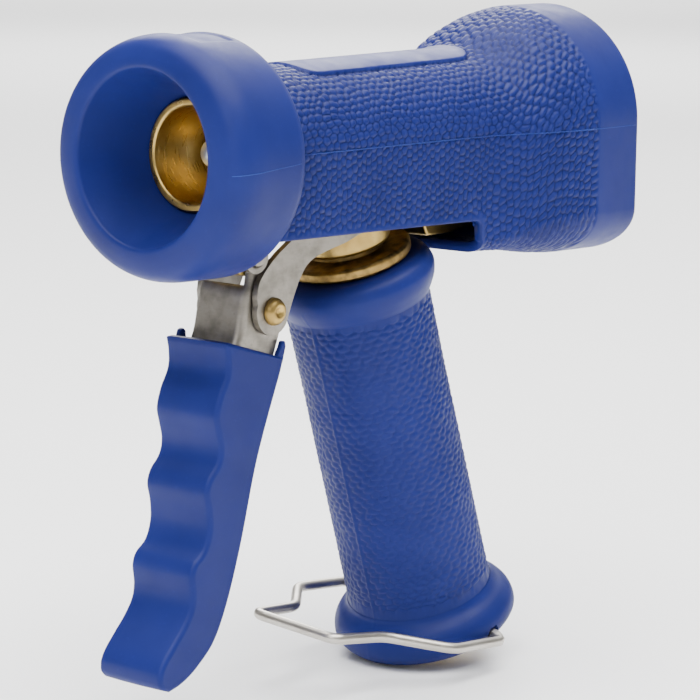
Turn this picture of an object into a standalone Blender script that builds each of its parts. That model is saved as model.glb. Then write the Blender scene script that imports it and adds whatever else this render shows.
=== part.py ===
"""Hose spray nozzle (wash-down gun), millimetres in the drawing, metres in the model.

Drawing frame: origin at the centre of the bell's front rim, +X to the rear along the barrel,
+Z up. The water leaves towards -X. The handle leans back by HANDLE_LEAN.
"""
import math

import bmesh
import bpy

MM = 0.001
ORIGIN_SHIFT = (-83.0, 0.0, 147.467)

HANDLE_X = 69.74
HANDLE_LEAN = 0.33
ALONG_X = (0.0, math.pi / 2, 0.0)
ALONG_HANDLE = (0.0, -HANDLE_LEAN, 0.0)

BELL_TOP_FLATTENING = 0.935
BELL_BOTTOM_FLATTENING = 0.955
MOUTH_RADIUS = 22.6
CUP_HOLE_RADIUS = 14.8
CAVITY_HALF_WIDTH = 18.5
CORNER_STRETCH = 1.7

LEVER_PIVOT = (32.0, 0.0, -26.0)
RIVET = (38.0, 0.0, -40.6)
CROSSHEAD_X = 130.0
BAIL_AXIS_NEAR = (115.3, -26.0, -138.0)
BAIL_AXIS_FAR = (115.3, 26.0, -132.0)
BAIL_TILT = math.atan2(BAIL_AXIS_FAR[2] - BAIL_AXIS_NEAR[2], BAIL_AXIS_FAR[1] - BAIL_AXIS_NEAR[1])
ALONG_BAIL_AXIS = (math.pi / 2 + BAIL_TILT, 0.0, 0.0)
WIRE_RADIUS = 1.5

FLANGE_Y = (7.0, 8.5)
LINK_Y_LOW = (8.8, 10.6)
LINK_Y_HIGH = (13.3, 15.1)

for old in list(bpy.data.objects):
    bpy.data.objects.remove(old, do_unlink=True)

PARTS = bpy.data.collections.new("hose_spray_nozzle")
CUTTERS = bpy.data.collections.new("cutters")
bpy.context.scene.collection.children.link(PARTS)
bpy.context.scene.collection.children.link(CUTTERS)

LOOKS = {
    "blue_rubber": ((0.035, 0.085, 0.38, 1.0), 0.48, 0.0),
    "blue_plastic": ((0.032, 0.075, 0.34, 1.0), 0.42, 0.0),
    "brass": ((0.62, 0.44, 0.16, 1.0), 0.32, 1.0),
    "steel": ((0.50, 0.48, 0.44, 1.0), 0.36, 1.0),
    "wire": ((0.66, 0.62, 0.54, 1.0), 0.25, 1.0),
    "seal": ((0.03, 0.03, 0.032, 1.0), 0.7, 0.0),
}


def place(point):
    """A drawing point in model metres."""
    return tuple((p + s) * MM for p, s in zip(point, ORIGIN_SHIFT))


def handle_point(s, across=0.0):
    """A drawing point s down the handle and across to its rear."""
    x = HANDLE_X + s * math.sin(HANDLE_LEAN) + across * math.cos(HANDLE_LEAN)
    z = -s * math.cos(HANDLE_LEAN) + across * math.sin(HANDLE_LEAN)
    return (x, 0.0, z)


def paint(obj, look):
    color, roughness, metallic = LOOKS[look]
    material = bpy.data.materials.new(obj.name + "_" + look)
    material.use_nodes = True
    shader = material.node_tree.nodes["Principled BSDF"]
    shader.inputs["Base Color"].default_value = color
    shader.inputs["Roughness"].default_value = roughness
    shader.inputs["Metallic"].default_value = metallic
    obj.data.materials.clear()
    obj.data.materials.append(material)


def add_object(name, data, at, rotation=(0.0, 0.0, 0.0), look=None):
    obj = bpy.data.objects.new(name, data)
    obj.location = place(at)
    obj.rotation_euler = rotation
    if look:
        PARTS.objects.link(obj)
        paint(obj, look)
    else:
        CUTTERS.objects.link(obj)
        obj.hide_render = True
        obj.display_type = "WIRE"
    return obj


def finish_mesh(bm, name, smooth=True):
    bmesh.ops.recalc_face_normals(bm, faces=bm.faces[:])
    mesh = bpy.data.meshes.new(name)
    bm.to_mesh(mesh)
    bm.free()
    for polygon in mesh.polygons:
        polygon.use_smooth = smooth
    mesh.set_sharp_from_angle(angle=math.radians(35))
    return mesh


def turned(name, profile, at, rotation, look=None, steps=32):
    """Turns (radius, height) points about local Z. A profile off the axis is closed into a ring."""
    mesh = bpy.data.meshes.new(name)
    points = [(r * MM, 0.0, h * MM) for r, h in profile]
    edges = [(i, i + 1) for i in range(len(points) - 1)]
    if profile[0][0] > 0.0:
        edges.append((len(points) - 1, 0))
    mesh.from_pydata(points, edges, [])
    obj = add_object(name, mesh, at, rotation, look)
    screw = obj.modifiers.new("turn", "SCREW")
    screw.axis = "Z"
    screw.steps = steps
    screw.render_steps = steps
    screw.use_merge_vertices = True
    screw.merge_threshold = 0.00001
    screw.use_smooth_shade = True
    return obj


def ring_section(radius, height, thickness, count=8):
    """The profile of an O-ring."""
    section = []
    for i in range(count):
        a = -math.tau * i / count
        section.append((radius + thickness * math.cos(a), height + thickness * math.sin(a)))
    return section


def prism(name, outline, y_low, y_high, at, look=None, bevel=0.0):
    """An (x, z) outline, relative to at, carried from y_low to y_high."""
    bm = bmesh.new()
    low = [bm.verts.new((x * MM, y_low * MM, z * MM)) for x, z in outline]
    high = [bm.verts.new((x * MM, y_high * MM, z * MM)) for x, z in outline]
    bm.faces.new(low)
    bm.faces.new(high)
    for i in range(len(outline)):
        j = (i + 1) % len(outline)
        bm.faces.new((low[i], low[j], high[j], high[i]))
    obj = add_object(name, finish_mesh(bm, name), at, look=look)
    if bevel:
        soften(obj, bevel)
    return obj


def soften(obj, width, segments=2, angle=40.0):
    bevel = obj.modifiers.new("soft_edges", "BEVEL")
    bevel.width = width * MM
    bevel.segments = segments
    bevel.limit_method = "ANGLE"
    bevel.angle_limit = math.radians(angle)
    return bevel


def boolean(obj, other, operation="DIFFERENCE"):
    modifier = obj.modifiers.new(operation.lower(), "BOOLEAN")
    modifier.operation = operation
    modifier.object = other
    modifier.solver = "EXACT"


def arc(center, radius, start, end, count):
    """Points on an arc in the (x, z) plane, angles in degrees."""
    points = []
    for i in range(count + 1):
        a = math.radians(start + (end - start) * i / count)
        points.append((center[0] + radius * math.cos(a), center[1] + radius * math.sin(a)))
    return points


def relative(points, at):
    return [(x - at[0], z - at[2]) for x, z in points]


def loft(name, rings, at, look=None):
    """Closed rings of equal length joined in order, both ends capped."""
    bm = bmesh.new()
    rows = [[bm.verts.new(tuple(c * MM for c in p)) for p in ring] for ring in rings]
    count = len(rows[0])
    for a, b in zip(rows, rows[1:]):
        for i in range(count):
            j = (i + 1) % count
            bm.faces.new((a[i], a[j], b[j], b[i]))
    bm.faces.new(rows[0])
    bm.faces.new(rows[-1])
    return add_object(name, finish_mesh(bm, name), at, look=look)


def tombstone(x, half_width, top, bottom, corner, count=48):
    """A section at x: round top, straight sides, lower corners rounded wider than they are high."""
    crown = top - half_width
    low = bottom + corner
    reach = corner * CORNER_STRETCH
    quarter = count // 4
    points = []
    for i in range(2 * quarter):
        a = math.pi * i / (2 * quarter)
        points.append((half_width * math.cos(a), crown + half_width * math.sin(a)))
    side = quarter // 2
    for i in range(side):
        points.append((-half_width, crown + (low - crown) * i / side))
    for i in range(side):
        a = math.pi + 0.5 * math.pi * i / side
        points.append((reach - half_width + reach * math.cos(a), low + corner * math.sin(a)))
    for i in range(side):
        a = 1.5 * math.pi + 0.5 * math.pi * i / side
        points.append((half_width - reach + reach * math.cos(a), low + corner * math.sin(a)))
    for i in range(side):
        points.append((half_width, low + (crown - low) * i / side))
    return [(x, y, z) for y, z in points]


def ellipse(x, half_width, top, bottom, count=48):
    """An oval ring with different heights above and below the axis."""
    ring = []
    for i in range(count):
        a = 2.0 * math.pi * i / count
        height = top if math.sin(a) > 0.0 else bottom
        ring.append((x, half_width * math.cos(a), height * math.sin(a)))
    return ring


def build_cover():
    """The rubber cover: bell, barrel and rear cap in one moulding, open underneath."""
    rings = []
    for x, r in (
        (0.0, 23.8), (0.4, 27.0), (1.3, 29.5), (3.0, 31.3), (5.5, 32.5), (9.0, 33.0), (23.2, 33.0), (24.6, 32.2),
    ):
        rings.append(ellipse(x, r, r * BELL_TOP_FLATTENING, r * BELL_BOTTOM_FLATTENING))
    barrel = (
        (25.0, 21.2, 21.4, -29.6, 3.0), (60.0, 22.2, 22.4, -29.8, 3.0), (90.0, 23.4, 23.4, -30.0, 3.0),
        (112.0, 24.6, 24.1, -30.2, 3.4), (118.0, 26.4, 24.4, -30.5, 4.6), (124.0, 28.6, 25.4, -31.0, 7.0),
        (130.0, 30.2, 29.2, -31.8, 9.0), (136.4, 31.6, 32.4, -32.8, 11.0), (144.0, 32.6, 34.9, -33.8, 12.6),
        (151.0, 33.0, 36.1, -34.3, 13.0), (168.4, 33.0, 36.5, -34.4, 13.0), (169.6, 32.5, 36.0, -33.9, 12.8),
        (170.0, 31.6, 35.1, -33.0, 12.4),
    )
    for station in barrel:
        rings.append(tombstone(*station))
    cover = loft("barrel_cover", rings, (0.0, 0.0, 0.0), "blue_rubber")

    mouth = [(0.0, 24.8), (CUP_HOLE_RADIUS, 24.8), (CUP_HOLE_RADIUS, 19.0), (15.6, 18.2)]
    mouth += [(MOUTH_RADIUS - 0.9, 0.9), (MOUTH_RADIUS + 0.3, -0.6), (MOUTH_RADIUS + 0.3, -3.0), (0.0, -3.0)]
    boolean(cover, turned("mouth_cut", mouth, (0.0, 0.0, 0.0), ALONG_X, steps=48))

    inside = []
    for x, half, top, bottom, corner in (
        (24.6, CAVITY_HALF_WIDTH, CAVITY_HALF_WIDTH, -27.0, 2.0), (112.0, CAVITY_HALF_WIDTH, 20.0, -27.0, 2.0),
        (124.0, 22.0, 21.0, -27.4, 4.0), (133.0, 25.2, 25.6, -28.4, 6.0), (150.0, 28.0, 31.0, -30.0, 10.0),
        (165.5, 28.0, 31.0, -30.0, 10.0),
    ):
        inside.append(tombstone(x, half, top, bottom, corner, 32))
    boolean(cover, loft("cavity_cut", inside, (0.0, 0.0, 0.0)))

    slot = [(25.0, -21.0), (25.0, -60.0), (108.0, -60.0)]
    slot += arc((105.4, -23.6), 2.6, 0.0, 90.0, 5)
    boolean(cover, prism("slot_cut", slot, -40.0, 40.0, (0.0, 0.0, 0.0)))

    hole = [(0.0, 180.0), (9.0, 180.0), (9.0, 160.0), (0.0, 160.0)]
    boolean(cover, turned("rear_hole_cut", hole, (0.0, 0.0, 0.0), ALONG_X, steps=24))
    return cover


def build_handle():
    top = handle_point(0.0)
    grip = [(17.6, -33.5), (20.3, -33.9), (22.2, -35.6), (22.7, -38.0), (22.2, -40.6), (20.9, -43.2), (20.1, -45.5)]
    grip += [(20.0, -70.0), (20.3, -105.0), (20.6, -134.0), (21.7, -136.2), (24.0, -138.4), (25.8, -141.2)]
    grip += [(26.1, -143.6), (25.2, -146.2), (23.0, -148.0), (20.5, -148.6), (16.3, -148.6)]
    grip += [(16.3, -139.0), (13.0, -138.6), (13.0, -33.5)]
    sleeve = turned("handle_grip", grip, top, ALONG_HANDLE, "blue_rubber", steps=36)
    for name, point in (("near", BAIL_AXIS_NEAR), ("far", BAIL_AXIS_FAR)):
        cut = [(0.0, 4.4), (2.1, 4.4), (2.1, -4.4), (0.0, -4.4)]
        boolean(sleeve, turned("wire_hole_cut_" + name, cut, point, ALONG_BAIL_AXIS, steps=16))

    pipe = [(10.4, -20.2), (10.4, -29.6), (17.0, -29.6), (17.4, -30.1), (17.4, -32.6), (17.0, -33.1), (12.6, -33.1)]
    pipe += [(12.6, -138.2), (9.8, -138.2), (9.8, -36.0), (8.0, -34.0), (8.0, -20.2)]
    turned("handle_pipe", pipe, top, ALONG_HANDLE, "brass")

    socket = [(9.5, -127.0), (9.5, -139.4), (15.9, -139.4), (15.9, -148.2), (15.4, -148.8), (9.9, -148.8)]
    socket += [(9.3, -148.2), (9.3, -141.0), (7.4, -139.6), (7.4, -127.0)]
    turned("inlet_socket", socket, top, ALONG_HANDLE, "brass")

    turned("neck_o_ring", ring_section(9.3, -18.9, 0.8), top, ALONG_HANDLE, "seal", steps=20)


def build_body():
    """The brass body: chamber tube, neck, front pivot lug and rear foot."""
    start = (0.0, 0.0, 0.0)
    tube = [(12.7, 104.0), (12.7, 48.0), (16.0, 45.0), (16.0, 28.8), (15.4, 28.2), (0.0, 28.2)]
    body = turned("valve_body", [(0.0, 104.0)] + tube, start, ALONG_X, "brass")

    neck = [(0.0, 0.0), (12.4, 0.0), (12.4, -18.0), (12.7, -18.6), (12.7, -27.8), (12.6, -28.2), (0.0, -28.2)]
    boolean(body, turned("neck_join", neck, handle_point(0.0), ALONG_HANDLE), "UNION")
    lug = [(29.2, -9.0), (40.0, -9.0), (40.0, -14.5)] + arc((32.0, -26.0), 5.3, 0.0, -180.0, 10) + [(28.6, -20.0)]
    boolean(body, prism("lug_join", lug, -6.6, 6.6, start), "UNION")
    foot = [(93.0, -6.0), (103.9, -6.0), (104.0, -20.6), (122.0, -20.6), (122.4, -23.4), (112.0, -25.6), (101.2, -25.8)]
    foot += [(97.0, -18.0), (93.0, -14.0)]
    boolean(body, prism("foot_join", foot, -10.5, 10.5, start), "UNION")

    bore = [(0.0, 110.0), (10.9, 110.0), (10.9, 92.0), (9.8, 92.0), (9.8, 41.6), (13.1, 41.6), (13.1, 20.0), (0.0, 20.0)]
    boolean(body, turned("chamber_cut", bore, start, ALONG_X))
    inlet = [(0.0, -4.0), (8.0, -4.0), (8.0, -17.6), (10.8, -17.6), (10.8, -40.0), (0.0, -40.0)]
    boolean(body, turned("inlet_cut", inlet, handle_point(0.0), ALONG_HANDLE))
    pin_hole = [(0.0, 20.0), (2.8, 20.0), (2.8, -20.0), (0.0, -20.0)]
    boolean(body, turned("pivot_hole_cut", pin_hole, LEVER_PIVOT, (math.pi / 2, 0.0, 0.0), steps=20))


def build_nozzle():
    start = (0.0, 0.0, 0.0)
    cup = [(12.8, 41.3), (12.8, 25.3), (14.2, 25.3), (14.5, 24.9), (14.5, 18.1), (14.1, 17.6), (12.7, 17.6)]
    cup += [(12.2, 18.0), (11.6, 21.0), (10.4, 24.0), (8.7, 27.0), (7.0, 30.0), (6.0, 33.5), (5.8, 37.0), (6.3, 41.3)]
    turned("nozzle_cup", cup, start, ALONG_X, "brass", steps=28)
    turned("nozzle_o_ring", ring_section(13.95, 26.75, 0.8), start, ALONG_X, "seal", steps=20)


def build_valve():
    """The stem and what rides on it, at rest with the disc on its seat."""
    start = (0.0, 0.0, 0.0)
    stem = [(0.0, 145.0), (2.6, 145.0), (3.0, 144.4), (3.0, 34.6), (1.8, 34.4), (1.8, 30.0), (0.0, 30.0)]
    turned("valve_stem", stem, start, ALONG_X, "steel", steps=24)
    tip = [(0.0, 29.7), (2.1, 29.7), (2.1, 34.0), (3.6, 34.0), (4.0, 33.4), (4.0, 28.6), (3.6, 26.4), (2.6, 24.8)]
    tip += [(1.3, 24.0), (0.0, 23.7)]
    turned("stem_tip", tip, start, ALONG_X, "wire", steps=24)
    disc = [(8.2, 45.0), (8.6, 44.6), (8.6, 42.0), (8.2, 41.6), (3.3, 41.6), (3.3, 45.0)]
    turned("valve_disc", disc, start, ALONG_X, "seal", steps=28)
    holder = [(8.4, 49.6), (8.9, 49.1), (8.9, 45.8), (8.4, 45.3), (3.3, 45.3), (3.3, 49.6)]
    turned("disc_holder", holder, start, ALONG_X, "brass", steps=28)
    seat = [(9.0, 51.6), (9.0, 49.9), (3.3, 49.9), (3.3, 51.6)]
    turned("spring_seat", seat, start, ALONG_X, "steel", steps=28)

    bonnet = [(5.6, 114.0), (10.4, 114.0), (10.4, 108.2), (12.6, 107.8), (12.6, 105.8), (10.5, 105.4), (10.5, 92.4)]
    bonnet += [(3.4, 92.4), (3.4, 99.7), (5.6, 99.7)]
    turned("rear_bonnet", bonnet, start, ALONG_X, "brass")
    gasket = [(12.5, 105.1), (12.5, 104.3), (10.9, 104.3), (10.9, 105.1)]
    turned("bonnet_gasket", gasket, start, ALONG_X, "seal", steps=28)
    packing = [(5.3, 107.6), (5.3, 100.0), (3.3, 100.0), (3.3, 107.6)]
    turned("stem_packing", packing, start, ALONG_X, "seal", steps=24)
    gland = [(8.6, 119.0), (8.9, 118.6), (8.9, 114.3), (5.3, 114.3), (5.3, 107.9), (3.4, 107.9), (3.4, 119.0)]
    turned("gland_nut", gland, start, ALONG_X, "brass", steps=24)

    head = [(121.5, -5.5), (138.5, -5.5), (138.5, 5.5), (121.5, 5.5)]
    crosshead = prism("crosshead", head, -8.5, 8.5, start, "steel", bevel=0.8)
    bore = [(0.0, 150.0), (3.3, 150.0), (3.3, 110.0), (0.0, 110.0)]
    boolean(crosshead, turned("crosshead_bore_cut", bore, start, ALONG_X, steps=24))
    for sign, side in ((-1.0, "left"), (1.0, "right")):
        cut = [(0.0, 12.0), (2.7, 12.0), (2.7, 5.0), (0.0, 5.0)]
        if sign < 0.0:
            cut = [(r, -h) for r, h in cut[::-1]]
        cutter = turned("crosshead_pin_cut_" + side, cut, (CROSSHEAD_X, 0.0, 0.0), (-math.pi / 2, 0.0, 0.0), steps=20)
        boolean(crosshead, cutter)
        pin = [(0.0, 16.2), (2.1, 16.2), (2.4, 15.8), (2.4, 5.4), (0.0, 5.4)]
        if sign < 0.0:
            pin = [(r, -h) for r, h in pin[::-1]]
        turned("crosshead_pin_" + side, pin, (CROSSHEAD_X, 0.0, 0.0), (-math.pi / 2, 0.0, 0.0), "steel", steps=20)
    for name, low, high in (("stem_nut", 138.9, 142.4), ("lock_nut", 142.7, 144.8)):
        build_nut(name, arc((0.0, 0.0), 5.8, 0.0, 300.0, 5), low, high)


def build_nut(name, outline, low, high):
    """A hexagon nut round the stem from low to high."""
    bm = bmesh.new()
    rings = []
    for x in (low, high):
        rings.append([bm.verts.new((x * MM, y * MM, z * MM)) for y, z in outline])
    for i in range(6):
        j = (i + 1) % 6
        bm.faces.new((rings[0][i], rings[0][j], rings[1][j], rings[1][i]))
    bm.faces.new(rings[0])
    bm.faces.new(rings[1])
    nut = add_object(name, finish_mesh(bm, name), (0.0, 0.0, 0.0), look="steel")
    bore = [(0.0, high + 3.0), (3.3, high + 3.0), (3.3, low - 3.0), (0.0, low - 3.0)]
    boolean(nut, turned(name + "_bore_cut", bore, (0.0, 0.0, 0.0), ALONG_X, steps=24))


def build_spring():
    """The return spring, a closed coil round the stem."""
    turns = 7
    per_turn = 12
    low, high = 52.8, 91.2
    radius, wire = 7.6, 0.85
    curve = bpy.data.curves.new("return_spring", "CURVE")
    curve.dimensions = "3D"
    curve.bevel_depth = wire * MM
    curve.bevel_resolution = 1
    curve.use_fill_caps = True
    spline = curve.splines.new("POLY")
    count = turns * per_turn + 1
    spline.points.add(count - 1)
    for i in range(count):
        a = math.tau * i / per_turn
        x = low + (high - low) * i / (count - 1)
        spline.points[i].co = (x * MM, radius * math.cos(a) * MM, radius * math.sin(a) * MM, 1.0)
    add_object("return_spring", curve, (0.0, 0.0, 0.0), look="wire")


def build_lever():
    at = LEVER_PIVOT
    front = [(19.4, -48.7), (18.3, -53.5), (18.1, -58.3), (16.2, -63.0), (16.4, -67.5), (17.8, -72.5), (17.4, -77.0)]
    front += [(13.6, -82.0), (12.0, -86.0), (12.2, -90.0), (12.4, -94.0), (10.8, -98.5), (7.9, -103.0), (7.3, -107.0)]
    front += [(7.6, -111.0), (5.8, -115.5), (1.6, -120.5), (-2.6, -125.5), (-4.0, -128.5), (-3.8, -131.4), (-1.6, -133.2)]
    rear = [(3.6, -132.4), (11.0, -127.6), (16.7, -121.8), (21.5, -113.1), (26.2, -99.1), (31.8, -77.9), (41.3, -53.7)]
    rear += [(43.4, -46.8), (40.6, -47.6), (39.8, -52.2), (28.0, -49.4), (24.0, -48.4), (22.6, -46.0), (20.6, -46.4)]
    grip = prism("lever_grip", relative(front + rear, at), -10.5, 10.5, at, "blue_plastic")
    soften(grip, 1.1, segments=2, angle=50.0)
    pocket = [(24.6, -40.0), (22.4, -63.4), (37.2, -63.4), (44.4, -47.5), (46.0, -40.0)]
    boolean(grip, prism("bracket_pocket_cut", relative(pocket, at), -8.8, 8.8, at))

    side = arc((32.0, -26.0), 5.4, 178.0, 15.0, 7) + arc((38.0, -40.6), 5.6, 15.0, -25.0, 3)
    side += [(42.6, -47.0), (36.6, -62.6), (23.0, -62.6), (25.6, -48.0), (29.4, -35.0)]
    channel = prism("lever_bracket", relative(side, at), -FLANGE_Y[1], FLANGE_Y[1], at, "steel")
    hollow = [(20.0, -16.0), (50.0, -16.0), (50.0, -65.0), (24.6, -65.0), (27.2, -48.0), (30.6, -34.0)]
    hollow += [(27.0, -33.6), (20.0, -33.6)]
    boolean(channel, prism("channel_cut", relative(hollow, at), -FLANGE_Y[0], FLANGE_Y[0], at))
    for name, center, radius in (("pivot_eye_cut", LEVER_PIVOT, 2.8), ("rivet_eye_cut", RIVET, 2.8)):
        cut = [(0.0, 20.0), (radius, 20.0), (radius, -20.0), (0.0, -20.0)]
        boolean(channel, turned(name, cut, center, (math.pi / 2, 0.0, 0.0), steps=20))

    pin = [(0.0, 11.6), (2.1, 11.6), (2.5, 11.2), (2.5, -11.2), (2.1, -11.6), (0.0, -11.6)]
    turned("lever_pivot_pin", pin, at, (math.pi / 2, 0.0, 0.0), "steel", steps=20)
    for side_name, sign in (("left", 1.0), ("right", -1.0)):
        high, low = sorted((sign * 10.2, sign * 9.0), reverse=True)
        clip = [(4.6, high), (4.6, low), (2.8, low), (2.8, high)]
        turned("pivot_clip_" + side_name, clip, at, (math.pi / 2, 0.0, 0.0), "steel", steps=20)


def build_links():
    at = RIVET
    eye_rear = (CROSSHEAD_X, 0.0)
    width = 6.2
    upper = arc(eye_rear, width, -75.0, 105.0, 10)
    upper += [(64.5, -12.6), (58.0, -15.3), (52.0, -18.5), (44.8, -22.7), (37.9, -26.8), (32.8, -31.7), (31.6, -36.4)]
    upper += arc((38.0, -40.6), width, 160.0, 325.0, 9)
    upper += [(44.0, -42.0), (47.0, -35.5), (51.7, -29.0), (58.3, -25.2), (66.0, -22.6)]
    for name, sign in (("link_left", -1.0), ("link_right", 1.0)):
        blank = prism(name, relative(upper, at), *sorted((sign * LINK_Y_LOW[0], sign * LINK_Y_HIGH[1])), at, "steel")
        for cut_name, y_in, y_out in (("inner", LINK_Y_LOW[0], LINK_Y_HIGH[0]), ("outer", LINK_Y_LOW[1], LINK_Y_HIGH[1])):
            if cut_name == "inner":
                plan = [(52.0, 0.0), (150.0, 0.0), (150.0, y_out), (62.0, y_out), (51.0, y_in), (51.0, 0.0)]
            else:
                plan = [(20.0, y_in), (50.5, y_in), (61.5, y_out), (61.5, 30.0), (20.0, 30.0)]
            boolean(blank, plan_cut(name + "_" + cut_name + "_cut", plan, sign, at))
        eye = [(0.0, 20.0), (2.8, 20.0), (2.8, -20.0), (0.0, -20.0)]
        boolean(blank, turned(name + "_rivet_eye_cut", eye, at, (math.pi / 2, 0.0, 0.0), steps=20))
        slack = [(0.0, 20.0), (3.4, 20.0), (3.4, -20.0), (0.0, -20.0)]
        cutter = turned(name + "_pin_eye_cut", slack, (CROSSHEAD_X, 0.0, 0.0), (math.pi / 2, 0.0, 0.0), steps=20)
        boolean(blank, cutter)

    head = [(0.0, 12.6), (0.9, 12.9), (2.2, 12.7), (3.3, 12.0), (3.7, 10.9), (2.5, 10.9)]
    rivet = head + [(r, -h) for r, h in head[::-1]]
    turned("link_rivet", rivet, at, (math.pi / 2, 0.0, 0.0), "brass", steps=18)


def plan_cut(name, plan, sign, at):
    """A cutter with an (x, y) plan, tall enough to pass right through a link."""
    bm = bmesh.new()
    rows = []
    for z in (-80.0, 40.0):
        rows.append([bm.verts.new(((x - at[0]) * MM, sign * y * MM, (z - at[2]) * MM)) for x, y in plan])
    bm.faces.new(rows[0])
    bm.faces.new(rows[1])
    for i in range(len(plan)):
        j = (i + 1) % len(plan)
        bm.faces.new((rows[0][i], rows[0][j], rows[1][j], rows[1][i]))
    return add_object(name, finish_mesh(bm, name), at)


def bail_axis_point(y):
    """The point of the hanger's axis at y."""
    middle = (BAIL_AXIS_NEAR[2] + BAIL_AXIS_FAR[2]) / 2
    return (BAIL_AXIS_NEAR[0], y, middle + y * math.tan(BAIL_TILT))


def build_bail():
    """The wire hanger: two arms in the collar's holes, stepped in to a narrow front bar."""
    at = tuple((a + b) / 2 for a, b in zip(BAIL_AXIS_NEAR, BAIL_AXIS_FAR))
    near = [bail_axis_point(-22.4), bail_axis_point(-27.8), (112.4, -28.9, -138.1), (94.0, -28.4, -137.4)]
    near += [(91.0, -27.6, -137.1), (80.6, -17.4, -133.9), (77.6, -15.8, -133.2), (62.4, -14.6, -131.2), (59.0, -12.6, -130.6)]
    far = [(58.4, 12.0, -128.2), (61.6, 14.2, -128.4), (76.8, 15.4, -130.2), (79.6, 17.2, -130.2), (91.4, 26.4, -129.4)]
    far += [(94.6, 28.0, -129.6), (111.6, 28.9, -131.3), bail_axis_point(27.8), bail_axis_point(22.4)]
    curve = bpy.data.curves.new("hanger_bail", "CURVE")
    curve.dimensions = "3D"
    curve.bevel_depth = WIRE_RADIUS * MM
    curve.bevel_resolution = 2
    curve.use_fill_caps = True
    spline = curve.splines.new("POLY")
    points = near + far
    spline.points.add(len(points) - 1)
    for i, point in enumerate(points):
        spline.points[i].co = tuple((p - a) * MM for p, a in zip(point, at)) + (1.0,)
    add_object("hanger_bail", curve, at, look="wire")


build_cover()
build_handle()
build_body()
build_nozzle()
build_valve()
build_spring()
build_lever()
build_links()
build_bail()
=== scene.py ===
import math

import bmesh
import bpy
import numpy as np
from mathutils import Matrix, Vector


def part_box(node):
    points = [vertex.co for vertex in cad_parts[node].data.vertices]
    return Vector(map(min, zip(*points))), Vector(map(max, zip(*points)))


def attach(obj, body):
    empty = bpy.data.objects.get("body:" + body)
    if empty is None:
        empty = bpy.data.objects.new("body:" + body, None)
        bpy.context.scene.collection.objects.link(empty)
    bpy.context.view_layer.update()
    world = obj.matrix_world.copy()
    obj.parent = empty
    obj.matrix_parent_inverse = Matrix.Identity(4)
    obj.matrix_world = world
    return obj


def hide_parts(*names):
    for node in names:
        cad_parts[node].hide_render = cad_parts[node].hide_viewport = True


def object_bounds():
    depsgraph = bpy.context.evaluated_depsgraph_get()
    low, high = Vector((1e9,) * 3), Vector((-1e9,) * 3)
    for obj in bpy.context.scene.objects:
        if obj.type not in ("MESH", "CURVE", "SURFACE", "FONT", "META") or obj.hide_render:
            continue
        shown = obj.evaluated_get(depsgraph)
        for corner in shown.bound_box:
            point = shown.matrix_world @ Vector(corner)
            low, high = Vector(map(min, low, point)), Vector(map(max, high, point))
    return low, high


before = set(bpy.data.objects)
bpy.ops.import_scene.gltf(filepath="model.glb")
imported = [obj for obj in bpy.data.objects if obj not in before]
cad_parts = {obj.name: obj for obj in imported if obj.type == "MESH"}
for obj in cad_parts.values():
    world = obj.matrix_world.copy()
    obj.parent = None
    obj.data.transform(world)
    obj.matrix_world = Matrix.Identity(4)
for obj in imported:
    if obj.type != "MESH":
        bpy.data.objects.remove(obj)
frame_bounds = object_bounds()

# Drawing frame, in millimetres: origin at the centre of the bell's front rim, +X to the rear, +Z up.
# A point given as a pair is (x, z). The handle's foot leans to the rear, by HANDLE_LEAN radians.
MM = 0.001
COVER_LENGTH = 170.0
COVER_TOP = 36.5
HANDLE_TOP = (69.74, 0.0)
HANDLE_LEAN = 0.33
LEVER_PIVOT = (32.0, -26.0)
RIVET = (38.0, -40.6)
CROSSHEAD = (130.0, 0.0)
SIDES = (("left", -1.0), ("right", 1.0))

cover_low, cover_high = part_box("barrel_cover")
SHIFT = np.array([cover_low[0], (cover_low[1] + cover_high[1]) / 2, cover_high[2] - COVER_TOP * MM])

# Linear colours. DULL and AGED are a metal's tarnish, BLUE_DEEP is the rubber's darker mottling and, scaled
# down, the painted shade in the grain's grooves.
BLUE = (0.0105, 0.0180, 0.140)
BLUE_DEEP = (0.0074, 0.0130, 0.108)
BLUE_PALE = (0.022, 0.056, 0.29)
BRASS = (0.52, 0.36, 0.115)
BRASS_DULL = (0.25, 0.16, 0.05)
BRASS_AGED = (0.10, 0.068, 0.026)
STEEL = (0.325, 0.30, 0.26)
STEEL_DULL = (0.19, 0.175, 0.148)
WIRE = (0.56, 0.53, 0.48)
WIRE_DULL = (0.38, 0.35, 0.30)
TIP = (0.56, 0.58, 0.62)
TIP_DULL = (0.28, 0.28, 0.28)
SEAL = (0.02, 0.02, 0.022)
RUBBER_SHINE = 0.15


# ---------------------------------------------------------------- materials

def node(tree, kind, **values):
    made = tree.nodes.new(kind)
    for key, value in values.items():
        setattr(made, key, value)
    return made


def scaled(color, factor):
    return tuple(c * factor for c in color)


def noise(tree, coords, scale, detail, stretch=(1.0, 1.0, 1.0)):
    """A noise value; scale is in cells per metre of the object."""
    mapping = node(tree, "ShaderNodeMapping")
    mapping.inputs["Scale"].default_value = stretch
    texture = node(tree, "ShaderNodeTexNoise")
    texture.inputs["Scale"].default_value = scale
    texture.inputs["Detail"].default_value = detail
    tree.links.new(coords, mapping.inputs["Vector"])
    tree.links.new(mapping.outputs["Vector"], texture.inputs["Vector"])
    return texture.outputs["Fac"]


def remap(tree, value, low, high, to_low, to_high):
    ranged = node(tree, "ShaderNodeMapRange")
    ranged.inputs["From Min"].default_value = low
    ranged.inputs["From Max"].default_value = high
    ranged.inputs["To Min"].default_value = to_low
    ranged.inputs["To Max"].default_value = to_high
    tree.links.new(value, ranged.inputs["Value"])
    return ranged.outputs["Result"]


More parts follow.
